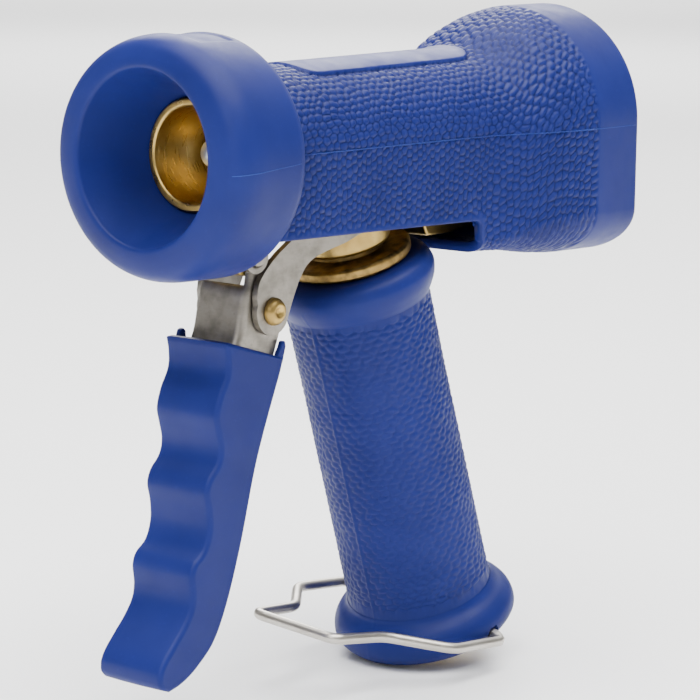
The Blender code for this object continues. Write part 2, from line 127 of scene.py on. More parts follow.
def mixed(tree, factor, first, second):
    mix = node(tree, "ShaderNodeMix", data_type="RGBA")
    tree.links.new(factor, mix.inputs["Factor"])
    for socket, color in ((mix.inputs["A"], first), (mix.inputs["B"], second)):
        if isinstance(color, tuple):
            socket.default_value = (*color, 1.0)
        else:
            tree.links.new(color, socket)
    return mix.outputs["Result"]


def bumped(tree, height, strength, distance_mm, below=None):
    bump = node(tree, "ShaderNodeBump")
    bump.inputs["Strength"].default_value = strength
    bump.inputs["Distance"].default_value = distance_mm * MM
    tree.links.new(height, bump.inputs["Height"])
    if below is not None:
        tree.links.new(below, bump.inputs["Normal"])
    return bump.outputs["Normal"]


def start_material(name, metallic):
    material = bpy.data.materials.new(name)
    material.use_nodes = True
    tree = material.node_tree
    shader = tree.nodes["Principled BSDF"]
    shader.inputs["Metallic"].default_value = metallic
    coords = node(tree, "ShaderNodeTexCoord").outputs["Object"]
    return material, tree, shader, coords


def blue_material(name, light, deep, rough_low, rough_high, grained=False):
    """Moulded rubber or plastic: faint mottling, fine pores, and painted shade (with some dust) darkening the
    grain's grooves.
    """
    material, tree, shader, coords = start_material(name, 0.0)
    broad = noise(tree, coords, 38.0, 3.0)
    color = mixed(tree, remap(tree, broad, 0.3, 0.7, 0.0, 1.0), light, deep)
    specks = noise(tree, coords, 900.0, 2.0)
    color = mixed(tree, remap(tree, specks, 0.62, 0.80, 0.0, 0.35), color, scaled(light, 1.35))
    rough = remap(tree, noise(tree, coords, 160.0, 5.0), 0.3, 0.7, rough_low, rough_high)
    if grained:
        relief = node(tree, "ShaderNodeAttribute", attribute_name="relief").outputs["Fac"]
        # Painted shade: the relief attribute darkens the grain's grooves towards a deep blue, standing for
        # shade and some dust in the recesses.
        groove_shade = remap(tree, relief, 0.0, 0.60, 0.80, 0.0)
        color = mixed(tree, groove_shade, color, scaled(deep, 0.45))
    tree.links.new(color, shader.inputs["Base Color"])
    tree.links.new(rough, shader.inputs["Roughness"])
    shader.inputs["Specular IOR Level"].default_value = RUBBER_SHINE
    pores = bumped(tree, noise(tree, coords, 2600.0, 3.0), 0.22, 0.05)
    waves = bumped(tree, noise(tree, coords, 120.0, 2.0), 0.10, 0.25, pores)
    tree.links.new(waves, shader.inputs["Normal"])
    return material


def metal_material(name, bright, dull, rough_low, rough_high, streak=(1.0, 1.0, 1.0), tarnish=0.5,
                   patch=95.0):
    """Bare metal: tarnish in soft patches, fine streaks from tooling, small scratches."""
    material, tree, shader, coords = start_material(name, 1.0)
    patches = noise(tree, coords, patch, 6.0)
    color = mixed(tree, remap(tree, patches, 0.42, 0.68, 0.0, tarnish), bright, dull)
    specks = noise(tree, coords, 1100.0, 2.0)
    color = mixed(tree, remap(tree, specks, 0.64, 0.78, 0.0, 0.45), color, dull)
    streaks = noise(tree, coords, 420.0, 4.0, streak)
    tree.links.new(color, shader.inputs["Base Color"])
    tree.links.new(remap(tree, streaks, 0.3, 0.7, rough_low, rough_high), shader.inputs["Roughness"])
    fine = bumped(tree, streaks, 0.25, 0.06)
    pits = bumped(tree, noise(tree, coords, 1700.0, 3.0), 0.14, 0.05, fine)
    tree.links.new(pits, shader.inputs["Normal"])
    return material


RUBBER = blue_material("blue_rubber_grained", BLUE, BLUE_DEEP, 0.40, 0.54, grained=True)
RUBBER_SMOOTH = blue_material("blue_rubber_smooth", BLUE, BLUE_DEEP, 0.42, 0.54)
PLASTIC = blue_material("blue_plastic_lever", BLUE, BLUE_DEEP, 0.42, 0.54)
FLASH = blue_material("blue_mould_line", BLUE_PALE, BLUE, 0.42, 0.58)
BRASS_TURNED = metal_material("brass_turned", BRASS, BRASS_DULL, 0.24, 0.42, (6.0, 0.5, 0.5))
BRASS_BODY = metal_material("brass_body", BRASS, BRASS_DULL, 0.30, 0.50, tarnish=0.75)
BRASS_FLANGE = metal_material("brass_flange_aged", scaled(BRASS_DULL, 1.3), BRASS_AGED, 0.32, 0.56,
                              tarnish=0.95, patch=330.0)
STAINLESS = metal_material("stainless_sheet", STEEL, STEEL_DULL, 0.36, 0.54, (1.0, 1.0, 4.0),
                           tarnish=0.75, patch=260.0)
TIP_METAL = metal_material("stem_tip_metal", TIP, TIP_DULL, 0.34, 0.50)
BRIGHT_WIRE = metal_material("bright_wire", WIRE, WIRE_DULL, 0.30, 0.44, (0.6, 6.0, 6.0))
RUBBER_SEAL = blue_material("seal_rubber", SEAL, SEAL, 0.55, 0.75)


# ---------------------------------------------------------------- mesh helpers

PEBBLE_JITTER = 0.52
PEBBLE_REACH = 0.62
GROOVE_WIDTH = 0.015


def smooth_step(value, low, high):
    t = np.clip((value - low) / (high - low), 0.0, 1.0)
    return t * t * (3.0 - 2.0 * t)


def hashed(i, j, salt):
    """A repeatable random number from 0 to 1 for each whole (i, j)."""
    scattered = np.sin(i * 127.1 + j * 311.7 + salt * 74.7) * 43758.5453
    return scattered - np.floor(scattered)


def pebbles(gu, gv, salt, wrap=None, roundness=1.0):
    """Height from 0 in the grooves to 1 on the pebbles, for coordinates counted in cells.

    A larger roundness spreads each pebble's shoulder further. With wrap, gv repeats after that many cells.
    """
    iu = np.floor(gu)
    nearest = np.full(gu.shape, 9.0)
    second = np.full(gu.shape, 9.0)
    for du in (-1, 0, 1):
        cu = iu + du
        stagger = 0.5 * np.mod(cu, 2.0)
        iv = np.floor(gv - stagger)
        for dv in (-1, 0, 1):
            cv = iv + dv
            key = np.mod(cv, wrap) if wrap else cv
            pu = cu + 0.5 + PEBBLE_JITTER * (hashed(cu, key, salt) - 0.5)
            pv = cv + 0.5 + stagger + PEBBLE_JITTER * (hashed(cu, key, salt + 5) - 0.5)
            distance = np.hypot(gu - pu, gv - pv)
            second = np.minimum(second, np.maximum(nearest, distance))
            nearest = np.minimum(nearest, distance)
    inside = np.clip((second - nearest - GROOVE_WIDTH) / (PEBBLE_REACH * roundness), 0.0, 1.0)
    return 1.0 - (1.0 - inside) ** 2.0


def soft_noise(u, v, salt):
    """Smooth value noise from 0 to 1."""
    iu, iv = np.floor(u), np.floor(v)
    fu, fv = u - iu, v - iv
    fu, fv = fu * fu * (3 - 2 * fu), fv * fv * (3 - 2 * fv)
    low = hashed(iu, iv, salt) * (1 - fu) + hashed(iu + 1, iv, salt) * fu
    high = hashed(iu, iv + 1, salt) * (1 - fu) + hashed(iu + 1, iv + 1, salt) * fu
    return low * (1 - fv) + high * fv


def grid_normals(grid):
    """Unit normals of a (rows, columns, 3) grid whose columns close into a ring."""
    along = np.gradient(grid, axis=0)
    around = (np.roll(grid, -1, axis=1) - np.roll(grid, 1, axis=1)) / 2
    normal = np.cross(along, around)
    length = np.linalg.norm(normal, axis=2, keepdims=True)
    return normal / np.maximum(length, 1e-9)


def add_piece(name, mesh, body, material, node_name):
    """A finished piece in the row frame, riding on its body. An extra piece replaces no node."""
    piece = bpy.data.objects.new(name, mesh)
    bpy.context.scene.collection.objects.link(piece)
    mesh.materials.append(material)
    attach(piece, body)
    if node_name:
        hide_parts(node_name)
    return piece


def mesh_from(name, points, faces, sharp_degrees=None, relief=None):
    """A mesh from drawing points in millimetres, welded and facing outwards."""
    mesh = bpy.data.meshes.new(name)
    rows = np.asarray(points, dtype=float).reshape(-1, 3) * MM + SHIFT
    mesh.from_pydata(rows.tolist(), [], [list(f) for f in faces])
    # The relief values go into the "relief" attribute, the painted shade tone that darkens the grained
    # rubber's grooves.
    if relief is not None:
        layer = mesh.attributes.new("relief", "FLOAT", "POINT")
        layer.data.foreach_set("value", np.asarray(relief, dtype=np.float32).ravel())
    bm = bmesh.new()
    bm.from_mesh(mesh)
    loose = [v for v in bm.verts if not v.link_faces]
    bmesh.ops.delete(bm, geom=loose, context="VERTS")
    bmesh.ops.remove_doubles(bm, verts=bm.verts[:], dist=0.000004)
    bmesh.ops.recalc_face_normals(bm, faces=bm.faces[:])
    for face in bm.faces:
        face.smooth = True
    bm.to_mesh(mesh)
    bm.free()
    if sharp_degrees:
        mesh.set_sharp_from_angle(angle=math.radians(sharp_degrees))
    return mesh


def grid_faces(rows, columns, wrap_rows=False, keep=None):
    """The quads of a grid whose columns close into a ring; keep marks the quads that stay."""
    r = np.arange(rows if wrap_rows else rows - 1)
    c = np.arange(columns)
    rr, cc = np.meshgrid(r, c, indexing="ij")
    r2 = (rr + 1) % rows
    c2 = (cc + 1) % columns
    quads = np.stack([rr * columns + cc, rr * columns + c2, r2 * columns + c2, r2 * columns + cc], axis=-1)
    if keep is not None:
        quads = quads[keep[: len(r)]]
    return quads.reshape(-1, 4).tolist()


def tube_faces(rows, columns):
    """The faces of a tube made of rings, closed at both ends."""
    faces = grid_faces(rows, columns)
    faces.append(list(range(columns)))
    faces.append(list(range((rows - 1) * columns, rows * columns)))
    return faces


def rounded(points, step):
    """A smooth curve through the points, sampled about every step millimetres."""
    p = np.asarray(points, dtype=float)
    out = []
    for i in range(len(p) - 1):
        p0, p1, p2, p3 = p[max(i - 1, 0)], p[i], p[i + 1], p[min(i + 2, len(p) - 1)]
        n = max(2, int(np.linalg.norm(p2 - p1) / step))
        for k in range(n):
            t = k / n
            out.append(0.5 * ((2 * p1) + (p2 - p0) * t + (2 * p0 - 5 * p1 + 4 * p2 - p3) * t * t
                              + (3 * p1 - p0 - 3 * p2 + p3) * t ** 3))
    out.append(p[-1])
    return np.array(out)


def filleted(points, radius, steps=4):
    """The polyline with each corner between its two ends rounded off by radius."""
    p = [np.asarray(q, dtype=float) for q in points]
    out = [p[0]]
    for a, b, c in zip(p, p[1:], p[2:]):
        back = (a - b) / max(np.linalg.norm(a - b), 1e-9)
        ahead = (c - b) / max(np.linalg.norm(c - b), 1e-9)
        reach = min(radius, 0.45 * np.linalg.norm(a - b), 0.45 * np.linalg.norm(c - b))
        for k in range(steps + 1):
            t = k / steps
            out.append(b + back * reach * (1 - t) ** 2 + ahead * reach * t ** 2)
    out.append(p[-1])
    return np.array(out)


def full_turn(steps):
    return np.linspace(0.0, 2 * math.pi, steps, endpoint=False)


def lathe_points(profile, steps, origin=(0.0, 0.0), lean=None):
    """Turns (radius, along) points about the barrel's axis, or about the handle's when lean is given."""
    profile = np.asarray(profile, dtype=float)
    angle = full_turn(steps)
    r = profile[:, 0:1]
    a = profile[:, 1:2]
    side = r * np.sin(angle)[None, :]
    up = r * np.cos(angle)[None, :]
    along = np.repeat(a, steps, axis=1)
    if lean is None:
        return np.stack([origin[0] + along, side, origin[1] + up], axis=2)
    x = origin[0] + along * math.sin(lean) - up * math.cos(lean)
    z = origin[1] - along * math.cos(lean) - up * math.sin(lean)
    return np.stack([x, side, z], axis=2)


def cross_lathe_points(profile, steps, center):
    """Turns (radius, y) points about a line across the gun through center (x, z)."""
    profile = np.asarray(profile, dtype=float)
    angle = full_turn(steps)
    x = center[0] + profile[:, 0:1] * np.cos(angle)[None, :]
    z = center[1] + profile[:, 0:1] * np.sin(angle)[None, :]
    y = np.repeat(profile[:, 1:2], steps, axis=1)
    return np.stack([x, y, z], axis=2)


def lathe_mesh(name, profile, steps=96, across=None, lean=None, origin=(0.0, 0.0), ring=False, fillet=0.3):
    """A turned solid. A ring's profile is closed on itself; any other starts and ends on the axis."""
    points = [tuple(p) for p in profile]
    if ring:
        points.append(points[0])
    outline = filleted(points, fillet)
    if ring:
        outline = outline[:-1]
    if across is None:
        grid = lathe_points(outline, steps, origin, lean)
    else:
        grid = cross_lathe_points(outline, steps, across)
    faces = grid_faces(len(outline), steps, ring)
    return mesh_from(name, grid, faces, sharp_degrees=50)


def prism_mesh(name, outline, y_low, y_high, sharp_degrees=30):
    """An (x, z) outline carried across the gun from y_low to y_high."""
    n = len(outline)
    points = [(x, y_low, z) for x, z in outline] + [(x, y_high, z) for x, z in outline]
    faces = [list(range(n)), list(range(2 * n - 1, n - 1, -1))]
    faces += [[i, (i + 1) % n, n + (i + 1) % n, n + i] for i in range(n)]
    return mesh_from(name, points, faces, sharp_degrees)


def bevel(piece, width, segments=3, angle=35.0):
    """Rounds a piece's edges; width is in millimetres, angle in degrees."""
    modifier = piece.modifiers.new("edges", "BEVEL")
    modifier.width = width * MM
    modifier.segments = segments
    modifier.limit_method = "ANGLE"
    modifier.angle_limit = math.radians(angle)


def flat_sides(piece):
    """Shades the faces square across the gun flat."""
    for face in piece.data.polygons:
        if abs(face.normal.y) > 0.9995:
            face.use_smooth = False


def cut_by(piece, mesh, operation="DIFFERENCE"):
    """Cuts a piece with a mesh, for good."""
    cutter = bpy.data.objects.new("cutter", mesh)
    bpy.context.scene.collection.objects.link(cutter)
    modifier = piece.modifiers.new("cut", "BOOLEAN")
    modifier.operation = operation
    modifier.object = cutter
    modifier.solver = "EXACT"
    bpy.context.view_layer.update()
    graph = bpy.context.evaluated_depsgraph_get()
    result = bpy.data.meshes.new_from_object(piece.evaluated_get(graph))
    piece.modifiers.clear()
    piece.data = result
    bpy.data.objects.remove(cutter, do_unlink=True)


def pierce(piece, center, radius, half=20.0, steps=48):
    """Cuts a round hole across the gun through a piece."""
    grid = cross_lathe_points([(radius, -half), (radius, half)], steps, center)
    cut_by(piece, mesh_from("eye", grid, tube_faces(2, steps)))


def arc(center, radius, start, end, count):
    """Points along an arc, its start and end in degrees."""
    out = []
    for i in range(count + 1):
        a = math.radians(start + (end - start) * i / count)
        out.append((center[0] + radius * math.cos(a), center[1] + radius * math.sin(a)))
    return out


# ---------------------------------------------------------------- rubber cover

STATION_X = [20.0, 25.0, 60.0, 90.0, 112.0, 118.0, 124.0, 130.0, 136.4, 144.0, 151.0, 168.4]
STATION_HALF = [21.1, 21.2, 22.2, 23.4, 24.6, 26.4, 28.6, 30.2, 31.6, 32.6, 33.0, 33.0]
STATION_TOP = [21.3, 21.4, 22.4, 23.4, 24.1, 24.4, 25.4, 29.2, 32.4, 34.9, 36.1, 36.5]
STATION_BOTTOM = [-29.5, -29.6, -29.8, -30.0, -30.2, -30.5, -31.0, -31.8, -32.8, -33.8, -34.3, -34.4]
STATION_CORNER = [3.0, 3.0, 3.0, 3.0, 3.4, 4.6, 7.0, 9.0, 11.0, 12.6, 13.0, 13.0]
SLOT_TOP = -21.0
SLOT_END = 108.0
SLOT_CORNER = 2.6
CORNER_STRETCH = 1.7
COVER_START = 21.0
COVER_STEP = 0.38
BAND_START = 150.0
BAND_STEPS = 14
REAR_START = 168.4
REAR_ROUND = 1.6
REAR_ROUND_STEPS = 8
REAR_HOLE = 9.0
WALL = 2.7
SIDE_COUNT, CROWN_COUNT, CORNER_COUNT, FLOOR_COUNT = 60, 188, 16, 44
PARTING_X = [0.0, 27.0, 100.0, 170.0]
PARTING_Z = [-2.6, 0.1, 1.6, 2.8]
PAD_FRONT, PAD_REAR, PAD_HALF, PAD_CORNER = 50.5, 121.5, 10.4, 6.0
PAD_RISE = 0.38
PAD_GROOVE = 0.45
COVER_GRAIN = 0.50
CAP_EXTRA_GRAIN = 0.12
# Sizes of a pebble above the mould line and below it.
UPPER_AROUND, UPPER_ALONG = 1.9, 2.6
LOWER_AROUND, LOWER_ALONG = 2.3, 1.95
WANDER = 0.6


def station(values, x):
    """A section size at x, eased across the stations."""
    total = 0.0
    for offset in (-1.6, -0.8, 0.0, 0.8, 1.6):
        total = total + np.interp(x + offset, STATION_X, values)
    return total / 5.0


def portions(count):
    return np.linspace(0.0, 1.0, count, endpoint=False)


def cover_ring(x, less):
    """The cover's cross-section at x, drawn in by less: both sides, the round crown, the flat floor."""
    half = station(STATION_HALF, x) - less
    top = station(STATION_TOP, x) - less
    low = station(STATION_BOTTOM, x) + less
    corner = station(STATION_CORNER, x)
    crown = top - half
    edge = low + corner
    if x < SLOT_END - SLOT_CORNER:
        edge = SLOT_TOP
    elif x < SLOT_END:
        into = x - (SLOT_END - SLOT_CORNER)
        edge = SLOT_TOP - SLOT_CORNER + math.sqrt(SLOT_CORNER ** 2 - into ** 2)
    t = portions(SIDE_COUNT)
    near = np.stack([np.full(SIDE_COUNT, -half), edge + (crown - edge) * t], axis=1)
    far = np.stack([np.full(SIDE_COUNT, half), crown + (edge - crown) * t], axis=1)
    a = math.pi * (1.0 - portions(CROWN_COUNT))
    over = np.stack([half * np.cos(a), crown + half * np.sin(a)], axis=1)
    reach = corner * CORNER_STRETCH
    a = -math.pi / 2 * portions(CORNER_COUNT)
    far_corner = np.stack([half - reach + reach * np.cos(a), edge + corner * np.sin(a)], axis=1)
    a = a - math.pi / 2
    near_corner = np.stack([reach - half + reach * np.cos(a), edge + corner * np.sin(a)], axis=1)
    t = portions(FLOOR_COUNT)
    floor = np.stack([(half - reach) * (1 - 2 * t), np.full(FLOOR_COUNT, edge - corner)], axis=1)
    ring = np.concatenate([near, over, far, far_corner, floor, near_corner])
    return np.column_stack([np.full(len(ring), x), ring])


def pad_distance(x, y):
    """Millimetres outside the smooth pad's edge on top of the barrel, negative on the pad."""
    middle = (PAD_FRONT + PAD_REAR) / 2
    reach = (PAD_REAR - PAD_FRONT) / 2
    dx = np.maximum(np.abs(x - middle) - (reach - PAD_CORNER), 0.0)
    dy = np.maximum(np.abs(y) - (PAD_HALF - PAD_CORNER), 0.0)
    return np.hypot(dx, dy) - PAD_CORNER


def cover_relief(grid):
    """The cover's height over its plain shape, and its painted shade tone from 0 in the grooves to 1 on the
    pebbles, also painted darker in the groove round the pad.
    """
    x, y, z = grid[:, :, 0], grid[:, :, 1], grid[:, :, 2]
    around = np.cumsum(np.linalg.norm(np.diff(grid, axis=1, prepend=grid[:, :1]), axis=2), axis=1)
    crest = SIDE_COUNT + CROWN_COUNT // 2
    around = around - around[:, crest:crest + 1] + 200.0
    xs = x[:, 0]
    swell = 1.0 + 0.28 * smooth_step(xs, 105.0, 135.0)
    lengthways = np.cumsum(np.diff(xs, prepend=xs[0]) / swell)[:, None] + np.zeros_like(x)
    wander_u = WANDER * soft_noise(x / 9.0, around / 8.0, 3)
    wander_v = WANDER * soft_noise(x / 7.0, around / 9.0, 8)
    lying = pebbles(around / UPPER_AROUND + wander_v, lengthways / UPPER_ALONG + wander_u, 2)
    standing = pebbles(lengthways / LOWER_ALONG + wander_u, around / LOWER_AROUND + wander_v, 6)
    relief = np.where(z > np.interp(x, PARTING_X, PARTING_Z), lying, standing)
    grained = (1.0 - smooth_step(x, BAND_START - 0.4, BAND_START + 0.4)) * smooth_step(x, 25.2, 26.4)
    from_pad = np.where(z > 0.0, pad_distance(x, y), 99.0)
    pad = 1.0 - smooth_step(from_pad, -0.25, 0.25)
    pad_groove = 1.0 - smooth_step(np.abs(from_pad - 0.45), 0.15, 0.65)
    above_slot = z - SLOT_TOP
    to_slot = np.where(x < SLOT_END, above_slot, np.hypot(x - SLOT_END, np.maximum(above_slot, 0.0)))
    grained = grained * (1.0 - pad) * smooth_step(to_slot, 0.5, 2.0)
    depth = COVER_GRAIN + CAP_EXTRA_GRAIN * smooth_step(x, 110.0, 135.0)
    height = -depth * (1.0 - relief) * grained + PAD_RISE * pad - PAD_GROOVE * pad_groove
    # Painted shade: the tone darkens the grain's grooves and the groove round the smooth pad.
    shade_tone = (1.0 - (1.0 - relief) * grained) * (1.0 - 0.9 * pad_groove)
    return height, shade_tone


def ring_onto_circle(ring, radius, x):
    """The ring's points moved onto a circle, keeping their directions."""
    flat = ring[:, 1:]
    away = flat / np.linalg.norm(flat, axis=1, keepdims=True)
    return np.column_stack([np.full(len(ring), x), away * radius])


def build_cover():
    """The grained barrel and the rear cap, open along the slot underneath, with the hole in the rear."""
    fine = np.arange(COVER_START, BAND_START + 1.0, COVER_STEP)
    xs = np.concatenate([fine, np.linspace(BAND_START + 1.0, REAR_START, BAND_STEPS)[1:]])
    xs = np.sort(np.append(xs[np.abs(xs - SLOT_END) > 0.3], SLOT_END))
    bends = math.pi / 2 * np.arange(1, REAR_ROUND_STEPS + 1) / REAR_ROUND_STEPS
    shrink = np.concatenate([np.zeros(len(xs)), REAR_ROUND * (1.0 - np.cos(bends))])
    xs = np.concatenate([xs, REAR_START + (COVER_LENGTH - REAR_START) * np.sin(bends)])
    grid = np.array([cover_ring(x, less) for x, less in zip(xs, shrink)])
    height, shade_tone = cover_relief(grid)
    normal = grid_normals(grid)
    if np.mean(normal[:60, SIDE_COUNT + CROWN_COUNT // 2, 2]) < 0:
        normal = -normal
    grid = grid + normal * height[:, :, None]

    last = grid[-1]
    rim = ring_onto_circle(last, REAR_HOLE + 0.4, COVER_LENGTH)
    hole = [last * (1 - k) + k * rim for k in (0.35, 0.7, 0.92)]
    hole += [ring_onto_circle(last, REAR_HOLE, COVER_LENGTH - depth) for depth in (0.4, 4.2)]
    points = np.concatenate([grid, hole])
    shade_tone = np.concatenate([shade_tone, np.ones((len(hole), grid.shape[1]))])
    keep = np.ones(shade_tone.shape, dtype=bool)
    slotted = np.count_nonzero(xs < SLOT_END - 0.01)
    keep[:slotted, 2 * SIDE_COUNT + CROWN_COUNT:] = False
    mesh = mesh_from("barrel_and_cap", points, grid_faces(*shade_tone.shape, keep=keep), relief=shade_tone)
    cover = add_piece("barrel_and_cap", mesh, "gun", RUBBER, "barrel_cover")
    wall = cover.modifiers.new("wall", "SOLIDIFY")
    wall.thickness = WALL * MM
    wall.offset = -1.0
    wall.use_rim = True


# ---------------------------------------------------------------- bell mouth and mould lines

BELL_STEPS = 288
BELL_SIDE = [(33.0, 22.8), (33.0, 16.0), (33.0, 10.5), (32.85, 7.8), (32.4, 5.4), (31.3, 3.0), (29.5, 1.35)]
BELL_SQUASH_ABOVE, BELL_SQUASH_BELOW = 0.067, 0.047
BELL_MARK_DEPTH = 0.45
LINE_ROOT = -0.25


def build_bell():
    """The bell mouth, a little flatter than it is wide outside and round inside, with a flat mark on top."""
    outer = [(19.5, 25.6), (27.0, 25.4), (31.6, 25.1), (32.6, 24.3)] + BELL_SIDE
    outer += [(27.0, 0.5), (24.6, 0.12), (23.2, 0.05), (22.5, 0.35), (22.15, 1.1)]
    inner = [(21.9, 2.0), (14.95, 18.2), (14.75, 18.9), (14.75, 25.6)]
    profile = np.concatenate([rounded(outer, 0.6), filleted(inner, 0.5)])
    grid = lathe_points(profile, BELL_STEPS)
    x, y, z = grid[:, :, 0], grid[:, :, 1], grid[:, :, 2]
    squash = np.where(z > 0.0, BELL_SQUASH_ABOVE, BELL_SQUASH_BELOW)
    z *= 1.0 - squash * smooth_step(np.hypot(y, z), 22.4, 29.0)
    mark = smooth_step(x, 9.2, 9.8) * (1.0 - smooth_step(x, 21.4, 22.0))
    mark = mark * (1.0 - smooth_step(np.abs(y), 10.6, 11.2)) * (z > 20.0)
    z -= BELL_MARK_DEPTH * mark
    faces = grid_faces(len(profile), BELL_STEPS, True)
    mesh = mesh_from("bell_mouth", grid, faces, sharp_degrees=60)
    add_piece("bell_mouth", mesh, "gun", RUBBER_SMOOTH, "barrel_cover")


def ridge(name, path, outward, width=0.16, proud=0.10):
    """A thin mould line standing on the cover along a path."""
    tangent = np.gradient(path, axis=0)
    tangent /= np.linalg.norm(tangent, axis=1, keepdims=True)
    outward = outward / np.linalg.norm(outward, axis=1, keepdims=True)
    sideways = np.cross(tangent, outward)
    shoulder, high = width * 0.6, proud * 0.7
    section = [(-width, LINE_ROOT), (-shoulder, high), (0.0, proud), (shoulder, high), (width, LINE_ROOT)]
    grid = np.stack([path + sideways * s + outward * h for s, h in section], axis=1)
    mesh = mesh_from(name, grid, tube_faces(len(path), len(section)))
    add_piece(name, mesh, "gun", FLASH, None)


def build_mould_lines():
    """The pale line where the mould's halves met, along both sides of the barrel and the bell."""
    xs = np.arange(26.0, 169.0, 1.0)
    line = np.interp(xs, PARTING_X, PARTING_Z)
    half = station(STATION_HALF, xs)
    above = np.maximum(line - (station(STATION_TOP, xs) - half), 0.0)
    wide = np.sqrt(half ** 2 - above ** 2)
    rim = rounded(BELL_SIDE, 0.8)
    rim_line = np.interp(rim[:, 1], PARTING_X, PARTING_Z)
    tangent = np.gradient(rim, axis=0)
    for side, sign in SIDES:
        path = np.column_stack([xs, sign * wide, line])
        out = np.column_stack([np.zeros(len(xs)), sign * wide, above])
        ridge("mould_line_barrel_" + side, path, out)
        path = np.column_stack([rim[:, 1], sign * rim[:, 0], rim_line])
        out = np.column_stack([tangent[:, 0], -sign * tangent[:, 1], np.zeros(len(rim))])
        out[out[:, 1] * sign < 0] *= -1
        ridge("mould_line_bell_" + side, path, out, width=0.14, proud=0.06)


# ---------------------------------------------------------------- handle

GRIP_STEPS = 320
GRIP_RADIUS = 20.2
GRIP_TOP = 45.0
GRIP_END = 135.4
GRIP_GRAIN = 0.42
GRIP_SEAM_RISE = 0.10
GRIP_ROUNDNESS = 1.3
# Pebbles round the grip, and a pebble's length down the grip, where they stand up and where they lie.
UPRIGHT_CELLS, UPRIGHT_LENGTH = 56, 2.5
LYING_CELLS, LYING_LENGTH = 38, 1.7
GRIP_PROFILE = [(13.4, 33.7), (17.4, 33.5), (19.4, 33.7), (21.4, 34.9), (22.5, 36.8), (22.7, 38.4)]
GRIP_PROFILE += [(22.3, 40.6), (21.2, 43.0), (20.3, 44.7), (20.05, 46.4), (20.0, 70.0), (20.3, 105.0)]
GRIP_PROFILE += [(20.55, 132.0), (20.9, 135.0), (21.9, 136.6), (23.8, 138.2), (25.4, 140.4), (26.05, 142.6)]
GRIP_PROFILE += [(26.0, 144.4), (25.0, 146.0), (23.4, 147.5), (21.3, 148.1), (16.4, 148.3)]
HANGER_HOLES = ((115.3, -25.6, -138.0), (115.3, 25.6, -132.0))
HANGER_HOLE_RADIUS = 2.1
HANGER_HOLE_DEPTH = 3.2
THREAD_RADIUS = 9.5
THREAD_DEPTH = 0.45
THREAD_STEP = 0.9


def build_grip():
    """The handle's grained sleeve with its smooth collars and the blind holes for the hanger."""
    curve = rounded(GRIP_PROFILE, 0.42)
    inner = np.array([(16.3, 148.0), (16.3, 139.2), (13.0, 138.8), (13.0, 34.0)])
    profile = np.concatenate([curve, inner])
    grid = lathe_points(profile, GRIP_STEPS, HANDLE_TOP, HANDLE_LEAN)
    normal = grid_normals(grid)
    if normal[120, 0, 0] > 0:
        normal = -normal
    s = np.repeat(profile[:, 1:2], GRIP_STEPS, axis=1)
    angle = full_turn(GRIP_STEPS)[None, :] + np.zeros_like(s)
    turns = angle / (2 * math.pi)
    warp = 0.7 * soft_noise(s / 6.0, angle * 4.0, 4)
    upright = pebbles(s / UPRIGHT_LENGTH + warp, turns * UPRIGHT_CELLS, 11, UPRIGHT_CELLS, GRIP_ROUNDNESS)
    lying = pebbles(s / LYING_LENGTH + warp, turns * LYING_CELLS, 17, LYING_CELLS, GRIP_ROUNDNESS)
    facing = 0.5 + 0.5 * np.cos(angle + 0.9) + 0.5 * (soft_noise(s / 14.0, angle * 2.2, 9) - 0.5)
    choice = smooth_step(facing, 0.50, 0.60)
    relief = lying * choice + upright * (1.0 - choice)
    outside = np.zeros_like(s)
    outside[: len(curve)] = 1.0
    seam = np.abs(((angle + math.pi) % (2 * math.pi)) - math.pi) * GRIP_RADIUS
    grained = outside * smooth_step(s, GRIP_TOP - 0.3, GRIP_TOP + 0.5)
    grained = grained * (1.0 - smooth_step(s, GRIP_END - 2.6, GRIP_END - 0.4)) * smooth_step(seam, 0.15, 0.7)
    line = outside * (1.0 - smooth_step(seam, 0.1, 0.4)) * (s > 40.0)
    height = GRIP_SEAM_RISE * line - GRIP_GRAIN * (1.0 - relief) * grained
    grid = grid + normal * height[:, :, None]
    for x, y, z in HANGER_HOLES:
        away = np.hypot(grid[:, :, 0] - x, grid[:, :, 2] - z)
        inside = (away < HANGER_HOLE_RADIUS) & (grid[:, :, 1] * y > 0) & (outside > 0)
        grid[:, :, 1] -= math.copysign(HANGER_HOLE_DEPTH, y) * inside
    faces = grid_faces(len(profile), GRIP_STEPS, True)
    # Painted shade: the tone darkens the grip's grain grooves, more lightly than on the barrel.
    shade_tone = 1.0 - 0.55 * (1.0 - relief) * grained
    mesh = mesh_from("handle_sleeve", grid, faces, sharp_degrees=70, relief=shade_tone)
    add_piece("handle_sleeve", mesh, "gun", RUBBER, "handle_grip")


def build_handle_brass():
    """The pipe with the flange that shows above the grip, and the threaded hose inlet in the foot."""
    flange = [(10.4, 26.0), (10.4, 29.7), (16.6, 29.7), (17.4, 30.4), (17.4, 32.5), (16.9, 33.1)]
    flange += [(12.6, 33.1), (12.6, 138.2), (9.8, 138.2), (9.8, 36.0), (8.0, 34.0), (8.0, 26.0)]
    mesh = lathe_mesh("handle_pipe_turned", flange, 128, lean=HANDLE_LEAN, origin=HANDLE_TOP, ring=True)
    add_piece("handle_pipe_turned", mesh, "gun", BRASS_FLANGE, "handle_pipe")

    socket = [(9.5, 127.0), (9.5, 139.4), (15.9, 139.4), (15.9, 148.2), (15.4, 148.7), (10.3, 148.7)]
    socket += [(THREAD_RADIUS - THREAD_DEPTH * (k % 2), 148.0 - THREAD_STEP * k) for k in range(9)]
    socket += [(8.9, 140.0), (7.4, 139.4), (7.4, 127.0)]
    mesh = lathe_mesh("hose_socket_threaded", socket, 128, lean=HANDLE_LEAN, origin=HANDLE_TOP, ring=True,
                      fillet=0.2)
    add_piece("hose_socket_threaded", mesh, "gun", BRASS_TURNED, "inlet_socket")


# ---------------------------------------------------------------- brass body and nozzle

